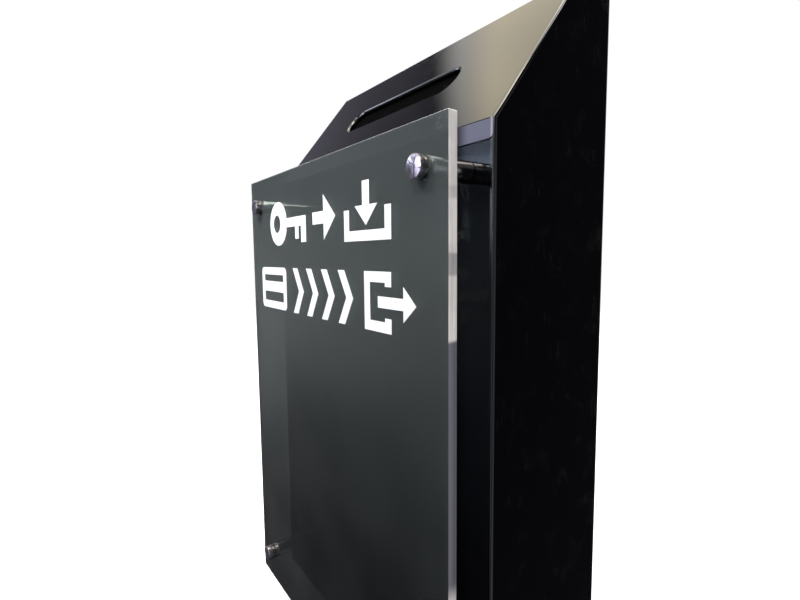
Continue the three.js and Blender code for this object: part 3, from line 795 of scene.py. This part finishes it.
def make_hinges():
    for level in ("upper", "lower"):
        pin_low, pin_high = box(f"hinge_{level}_pin")
        axis = (pin_low + pin_high) / 2
        for which in ("case", "door"):
            node = f"hinge_{level}_{which}_leaf"
            low, high = box(node)
            side = 1 if which == "case" else -1
            radius = axis.y - low.y
            shape = Shape()
            near, far = axis.x + side * LEAF_NEAR, axis.x + side * LEAF_FAR
            span = sorted((near, far))
            outer = rectangle((span[0], low.z), (span[1], high.z), 1.2, 4)
            place = placed((0, low.y, 0), X, Z, Y)
            holes = []
            rivets = [f"hinge_rivet_{level}_{which}_{end}" for end in ("top", "bottom")]
            for rivet in rivets:
                spot = centre(rivet)
                holes.append(hole(circle((spot.x, spot.z), RIVET_HOLE, 24)))
            plate(shape, outer, holes, LEAF_THICK, place, 0.12, 0.2, 2)
            third = (high.z - low.z) / 3
            if which == "case":
                spans = [(low.z, low.z + third), (high.z - third, high.z)]
            else:
                spans = [(low.z + third + 0.3, high.z - third - 0.3)]
            for start, end in spans:
                ring = placed((axis.x, axis.y, 0), X, Y, Z)
                profile = [(PIN_BORE, start), (radius - 0.25, start), (radius, start + 0.25)]
                profile += [(radius, end - 0.25), (radius - 0.25, end), (PIN_BORE, end)]
                turned(shape, profile, ring, 48, closed=True)
                ends = sorted((axis.x + side * 1.6, near + side * 0.6))
                block(shape, (ends[0], low.y, start), (ends[1], low.y + LEAF_THICK, end), 0.15)
            piece(f"hinge_{level}_{which}", shape, which, [PLATED], [node])
            for rivet in rivets:
                low_r, high_r = box(rivet)
                spot = (low_r + high_r) / 2
                shape = Shape()
                tall = high_r.y - low_r.y
                head = tall - 1.05
                profile = [(0, 0), (1.4, 0.05), (2.1, 0.35), (2.45, 0.8), (2.5, 1.35), (1.55, 1.4)]
                profile += [(1.55, head - 0.02), (2.95, head), (2.9, head + 0.25), (2.55, head + 0.6)]
                profile += [(1.9, head + 0.9), (1.0, head + 1.03), (0, tall)]
                turned(shape, profile, placed((spot.x, low_r.y, spot.z), X, -Z, Y), 32)
                visible = rivet.replace("hinge_", "")
                piece(visible, shape, which, [PLATED], [rivet], 60)
        shape = Shape()
        tall = pin_high.z - pin_low.z
        profile = [(0, 0), (1.0, 0), (1.25, 0.25), (1.25, tall - 1.0), (2.1, tall - 1.0)]
        profile += [(2.1, tall - 0.6), (1.5, tall - 0.12), (0, tall)]
        turned(shape, profile, placed((axis.x, axis.y, pin_low.z), X, Y, Z), 40)
        node = f"hinge_{level}_pin"
        piece(f"pin_{level}", shape, "case", [PLATED], [node])


def make_lock():
    housing_low, housing_high = box("lock_housing")
    spot = centre("lock_plug")
    place = placed((spot.x, 0, spot.z), X, -Z, Y)
    inner, face = housing_low.y, housing_high.y
    door_face = box("rear_door")[1].y
    shape = Shape()
    profile = [(PLUG_BORE, inner), (BARREL - 0.3, inner), (BARREL, inner + 0.3)]
    turn = inner + 0.9
    while turn < door_face - 4:
        profile += [(BARREL, turn), (BARREL - 0.4, turn + 0.35), (BARREL, turn + 0.7)]
        turn += 0.8
    profile += [(BARREL, door_face - 3.2), (BARREL, door_face + GLUE), (FLANGE, door_face + GLUE)]
    profile += [(FLANGE, face - 1.1), (9.85, face - 0.6), (9.4, face - 0.2), (8.8, face - 0.02)]
    profile += [(6.6, face), (6.3, face - 0.25), (PLUG_BORE, face - 0.25)]
    turned(shape, profile, place, 96, closed=True)
    piece("lock_body", shape, "door", [STEEL], ["lock_housing"], 38)

    low, high = box("lock_nut")
    shape = Shape()
    turns = [radians(angle) for angle in range(0, -360, -60)]
    hexagon = [(NUT * sin(a), NUT * cos(a)) for a in turns]
    nut_place = placed((spot.x, low.y, spot.z), X, -Z, Y)
    opening = hole(circle((0, 0), BARREL_HOLE, 48))
    plate(shape, hexagon, [opening], high.y - low.y, nut_place, 0.5, 0.2, 3)
    piece("lock_ring_nut", shape, "door", [PLATED], ["lock_nut"])

    low, high = box("lock_plug")
    blade_low = box("key")[0]
    shape = Shape()
    keyway = hole(rectangle((-4, -1.2), (4, 1.2), 0.4, 3))
    keyway_depth = face - blade_low.y + 0.5
    plug_place = placed((spot.x, face - keyway_depth, spot.z), X, -Z, Y)
    round_face = circle((0, 0), PLUG, 64)
    plate(shape, round_face, [keyway], keyway_depth - 0.05, plug_place, 0.0, 0.35, 4)
    behind = [(0, inner), (PLUG, inner), (PLUG, face - keyway_depth), (0, face - keyway_depth)]
    turned(shape, behind, place, 64)
    tail = placed((spot.x, low.y, spot.z), X, -Z, Y)
    screw_hole = hole(circle((0, 0), 1.7, 20))
    square = rectangle((-3, -3), (3, 3), 0.5, 3)
    plate(shape, square, [screw_hole], inner + 0.5 - low.y, tail, 0.2, 0.0, 2)
    piece("lock_core", shape, "lock_plug", [STEEL], ["lock_plug"])

    low, high = box("lock_cam")
    shape = Shape()
    reach = spot.z - low.z - CAM_END
    lever = arc((0, 0), CAM_END, 180, 360, 24) + arc((0, reach), CAM_END, 0, 180, 24)
    square = hole(rectangle((-3.15, -3.15), (3.15, 3.15), 0.4, 2))
    cam_place = placed((spot.x, low.y, spot.z), X, -Z, Y)
    plate(shape, lever, [square], high.y - low.y, cam_place, 0.25, 0.25, 3)
    piece("cam_lever", shape, "lock_plug", [PLATED], ["lock_cam"])

    low, high = box("lock_cam_screw")
    shape = Shape()
    hexagon = [(2.0 * cos(radians(a)), 2.0 * sin(radians(a))) for a in range(0, 360, 60)]
    head = placed((spot.x, low.y, spot.z), X, -Z, Y)
    plate(shape, circle((0, 0), 4.2, 48), [hole(hexagon)], 1.5, head, 0.45, 0.1, 3)
    tall = high.y - low.y
    shank = [(0, 1.4), (3.9, 1.4), (4.1, 1.5), (4.1, 2.2), (1.5, 2.25)]
    shank += [(1.5, tall - 0.3), (1.3, tall), (0, tall)]
    turned(shape, shank, head, 48)
    piece("cam_screw", shape, "lock_plug", [PLATED], ["lock_cam_screw"])


def make_key():
    low, high = box("key")
    spot = centre("lock_plug")
    face = box("lock_housing")[1].y
    thick = high.z - low.z
    radius = (high.x - low.x) / 2
    half = KEY_HALF
    bow_y = high.y - radius
    shoulder = face + 0.4
    join = degrees(asin((half + 0.8) / radius))
    tip = low.y
    outline = arc((0, bow_y), radius, -90 + join, 270 - join, 56)
    outline += [(-half - 0.8, shoulder), (-half, shoulder)]
    outline += [(-half, tip + 2), (-half + 2, tip), (half - 2, tip)]
    for along, depth in KEY_CUTS:
        outline += [(half - depth, tip + along), (half - depth, tip + along + 1)]
    outline += [(half, shoulder), (half + 0.8, shoulder)]
    eye = hole(circle((0, bow_y + 4.5), 3, 36))
    shape = Shape()
    place = placed((spot.x, 0, low.z), X, Y, Z)
    plate(shape, outline, [eye], thick, place, 0.18, 0.18, 2)
    piece("key_blank", shape, "key", [NICKEL], ["key"])


make_door()
make_hinges()
make_lock()
make_key()

# ---- Flap under the slot ----------------------------------------------------

AXIS_UP, AXIS_IN = 66.5, -5.6  # the flap's axis, up the slope and out from it
FLAP_UP = 36  # the flap's free edge, up the slope
FLAP_HALF, FLAP_THICK = 62, 1.0


def make_flap():
    along = Vector((0, SLOPE_END_Y - FRONT_Y, ROOF - FRONT_TOP)).normalized()
    outward = X.cross(along)
    base = Vector((0, FRONT_Y, FRONT_TOP))
    axis = base + along * AXIS_UP + outward * AXIS_IN
    place = placed(axis, X, along, outward)
    barrel_half, barrel = 55.0, 2.2  # half the length of the rolled edge, and its radius
    shape = Shape()
    outer = rectangle((-FLAP_HALF, FLAP_UP - AXIS_UP), (FLAP_HALF, -barrel - 0.6), 2.5, 6)
    under = place @ Matrix.Translation((0, 0, barrel - FLAP_THICK))
    plate(shape, outer, [], FLAP_THICK, under, 0.25, 0.25, 3)
    neck = rectangle((-barrel_half, -barrel - 1), (barrel_half, -0.6))
    plate(shape, neck, [], 0.98, place @ Matrix.Translation((0, 0, barrel - 0.99)), 0.0, 0.0, 1)
    roll = placed(axis - X * barrel_half, along, outward, X)
    profile = [(PIN_BORE, 0), (barrel - 0.2, 0), (barrel, 0.2), (barrel, 2 * barrel_half - 0.2)]
    profile += [(barrel - 0.2, 2 * barrel_half), (PIN_BORE, 2 * barrel_half)]
    turned(shape, profile, roll, 40, closed=True)
    piece("flap_plate", shape, "flap", [PAINT], ["flap"])

    shape = Shape()
    half = box("flap_pin")[1].x
    rod = placed(axis - X * half, along, outward, X)
    profile = [(0, 0), (1.0, 0), (1.25, 0.25)]
    profile += [(1.25, 2 * half - 0.25), (1.0, 2 * half), (0, 2 * half)]
    turned(shape, profile, rod, 32)
    piece("flap_rod", shape, "case", [PLATED], ["flap_pin"])

    top = -SHEET - GLUE - AXIS_IN
    for side in ("left", "right"):
        low, high = box(f"flap_bracket_{side}")
        shape = Shape()
        lug = arc((0, 0.2), 5, 180, 360, 20)
        lug = [(a, max(b, -4)) for a, b in lug] + [(5, top), (-5, top)]
        bore = hole(circle((0, 0), PIN_BORE, 24))
        set_at = placed((low.x, axis.y, axis.z), along, outward, X)
        plate(shape, lug, [bore], high.x - low.x, set_at, 0.25, 0.25, 2)
        piece(f"flap_lug_{side}", shape, "case", [BLACK_EDGE], [f"flap_bracket_{side}"])

    turns, radius, pitch, wire = 4, 2.0, 1.05, 0.35
    start = placed(axis + X * (barrel_half + 0.8), X, along, outward)
    path = []
    for i in range(turns * 24 + 1):
        angle = 2 * pi * i / 24
        path.append(start @ Vector((pitch * i / 24, radius * sin(angle), -radius * cos(angle))))
    for reach in range(2, 15, 2):
        path.append(start @ Vector((pitch * turns, -reach, -radius + 0.02 * reach)))
    shape = Shape()
    tube(shape, path, wire)
    piece("flap_coil", shape, "flap", [PLATED], ["flap_spring"], 60)


make_flap()

# ---- Camera -----------------------------------------------------------------


def make_camera():
    """Close to the front right of the sign, a little below its top, with a wide lens."""
    yaw, pitch, roll = radians(-54.36), radians(-5.34), radians(-0.52)
    forward = Vector((sin(yaw) * cos(pitch), cos(yaw) * cos(pitch), sin(pitch)))
    level = Vector((cos(yaw), -sin(yaw), 0))
    rise = level.cross(forward)
    right = level * cos(roll) + rise * sin(roll)
    data = bpy.data.cameras.new("camera")
    data.lens, data.sensor_width = 21.37, 36.0
    data.clip_start = 0.005
    camera = bpy.data.objects.new("camera", data)
    bpy.context.scene.collection.objects.link(camera)
    where = Vector((0, sign_low.y, sign_low.z)) + Vector((267.9, -131.0, 266.2))
    camera.matrix_world = placed(where * MM, right, right.cross(forward), -forward)
    bpy.context.scene.camera = camera


make_camera()

# ---- Floor, light and surroundings ------------------------------------------


def make_floor():
    half, segments = 3.0, 96
    mesh = bpy.data.meshes.new("floor")
    ring = [(*point, 0) for point in circle((0, 0), half, segments)]
    mesh.from_pydata(ring, [], [list(range(segments))])
    look = Look("pale_floor", (0.8, 0.8, 0.8), 0.9, Specular_IOR_Level=0.1)
    mottle = look.spread(look.noise(3, 3.0), 0.3, 0.7)
    away = look.node("ShaderNodeVectorMath", {0: look.place}, operation="LENGTH").outputs["Value"]
    far = look.spread(away, 0.4, 2.6)
    near_color = look.mix(mottle, (0.79, 0.79, 0.79), (0.81, 0.81, 0.81))
    look.set("Base Color", look.mix(far, near_color, (0.0, 0.0, 0.0)))
    look.set("Emission Color", (1, 1, 1))
    look.set("Emission Strength", look.math("MULTIPLY_ADD", far, 0.5, 0.5))
    mesh.materials.append(look.material)
    floor = bpy.data.objects.new("floor", mesh)
    bpy.context.scene.collection.objects.link(floor)
    for kind in ("glossy", "transmission", "diffuse"):
        setattr(floor, f"visible_{kind}", False)


def lamp(name, place, target, size, power, color, glossy=False):
    """A soft square lamp aimed at a point; lengths in metres."""
    data = bpy.data.lights.new(name, "AREA")
    data.size = size
    data.energy = power
    data.color = color
    obj = bpy.data.objects.new(name, data)
    obj.location = place
    obj.rotation_euler = (Vector(target) - Vector(place)).to_track_quat("-Z", "Y").to_euler()
    bpy.context.scene.collection.objects.link(obj)
    obj.visible_camera = False
    obj.visible_glossy = glossy
    obj.visible_transmission = glossy


def make_world():
    """Pale behind the object for the camera, and a room of soft panels for everything else."""
    world = bpy.data.worlds.new("room")
    world.use_nodes = True
    tree = world.node_tree
    tree.nodes.clear()
    g = Graph(tree)
    direction = g.node("ShaderNodeTexCoord").outputs["Generated"]
    parts = g.node("ShaderNodeSeparateXYZ", {0: direction}).outputs
    to_degrees = 180 / pi
    rise = g.math("MULTIPLY", g.math("ARCSINE", parts["Z"]), to_degrees)
    turn = g.math("ARCTAN2", parts["X"], g.math("MULTIPLY", parts["Y"], -1.0))
    turn = g.math("MULTIPLY", turn, to_degrees)

    def within(value, low, high, soft):
        up = g.spread(value, low - soft, low + soft)
        down = g.spread(value, high - soft, high + soft, 1.0, 0.0)
        return g.math("MULTIPLY", up, down)

    def around(middle, width, soft):
        away = g.math("ABSOLUTE", g.math("WRAP", g.math("SUBTRACT", turn, middle), 180.0, -180.0))
        return g.spread(away, width / 2 - soft, width / 2 + soft, 1.0, 0.0)

    room = (0.022, 0.022, 0.027)
    panels = [
        # middle azimuth, width, softness, low, high elevation, softness, colour, strength
        (-56, 52, 8, -14, 4, 6, (1.0, 1.0, 0.98), 0.155),
        (-105, 46, 8, 20, 31, 6, (0.95, 0.93, 1.15), 0.20),
        (-114, 96, 14, -60, -8, 14, (1.0, 1.0, 1.02), 0.065),
        (-100, 80, 12, 31, 42, 5, (0.95, 0.93, 1.1), 0.09),
        (-104, 70, 8, 43.2, 95, 1.8, (1.0, 0.98, 0.94), 1.05),
        (-104, 70, 8, 46.5, 95, 2.5, (1.0, 0.80, 0.36), 0.85),
        (-99, 12, 6, 46, 54, 3.0, (1.0, 0.9, 0.6), 0.55),
        (0, 400, 1, 62, 95, 4, (1.0, 0.9, 0.68), 1.2),
        (-42.5, 9, 1.0, 9.7, 18.5, 0.3, (0.80, 0.82, 1.15), 4.3),
        (-42.5, 9, 1.0, 9.7, 11.3, 0.3, (0.80, 0.84, 1.10), 3.0),
        (-41, 13, 2, -42, 7.5, 5.0, (0.85, 0.85, 1.15), 0.5),
        (-78, 26, 12, -24, 4, 9, (1.0, 1.0, 1.0), 0.025),
        (-41, 8, 2, 9.2, 11.8, 0.4, (0.85, 0.92, 1.15), 1.0),
        (-130, 90, 10, -70, -12, 14, (1.0, 1.0, 1.02), 0.22),
        (97, 68, 3, -70, 30, 14, (1.0, 0.98, 0.95), 0.55),
        (-175, 58, 4, -50, 40, 16, (1.0, 1.0, 1.02), 1.5),
        (-66, 36, 3, 21, 36, 2, (0.88, 0.94, 1.05), 2.5),
        (-64, 20, 2, 15.5, 20, 0.8, (0.82, 0.92, 1.1), 6.5),
        (-50, 12, 3, 17, 24, 2, (0.9, 0.93, 1.0), 1.6),
        (-131, 18, 3, 10, 26, 4, (0.95, 0.95, 1.05), 4.0),
        (-9, 12, 2, 35, 46, 2, (1.0, 1.0, 1.0), 20.0),
        (0, 74, 3, -25, 25, 10, (0.85, 0.87, 1.1), 0.8),
        (20, 60, 10, 25, 50, 8, (1.0, 1.0, 1.02), 0.9),
        (-150, 40, 8, 30, 60, 6, (1.0, 1.0, 1.0), 2.2),
        (-20, 40, 3, 2, 20, 4, (0.88, 0.88, 1.1), 8.0),
        (28, 62, 6, 47, 63, 3, (1.0, 0.93, 0.78), 18.0),
    ]
    total = room
    for middle, width, soft_turn, low, high, soft_rise, color, strength in panels:
        mask = g.math("MULTIPLY", around(middle, width, soft_turn), within(rise, low, high, soft_rise))
        lit = tuple(c * strength for c in color)
        scaled = g.node("ShaderNodeVectorMath", {0: lit, "Scale": mask}, operation="SCALE").outputs[0]
        total = g.node("ShaderNodeVectorMath", {0: total, 1: scaled}, operation="ADD").outputs[0]
    rays = g.node("ShaderNodeLightPath").outputs
    seen = g.mix(rays["Is Camera Ray"], total, (1.0, 1.0, 1.0))
    background = g.node("ShaderNodeBackground", {"Color": seen, "Strength": 1.0}).outputs[0]
    output = g.node("ShaderNodeOutputWorld")
    g.put(output.inputs["Surface"], background)
    bpy.context.scene.world = world


make_floor()
make_world()
lamp("sign_lamp", (-0.10, -0.26, 0.60), (0.0, -0.07, 0.25), 0.10, 2.3, (1.0, 0.99, 1.0))
lamp("right_fill", (0.9, 0.05, 0.35), (0.12, -0.06, 0.2), 0.5, 4.0, (1.0, 0.99, 0.98))
lamp("overhead", (0.0, 0.0, 1.6), (0.0, 0.0, 0.0), 1.2, 14.0, (1.0, 1.0, 1.0), glossy=True)
bpy.context.scene.view_settings.view_transform = "Standard"
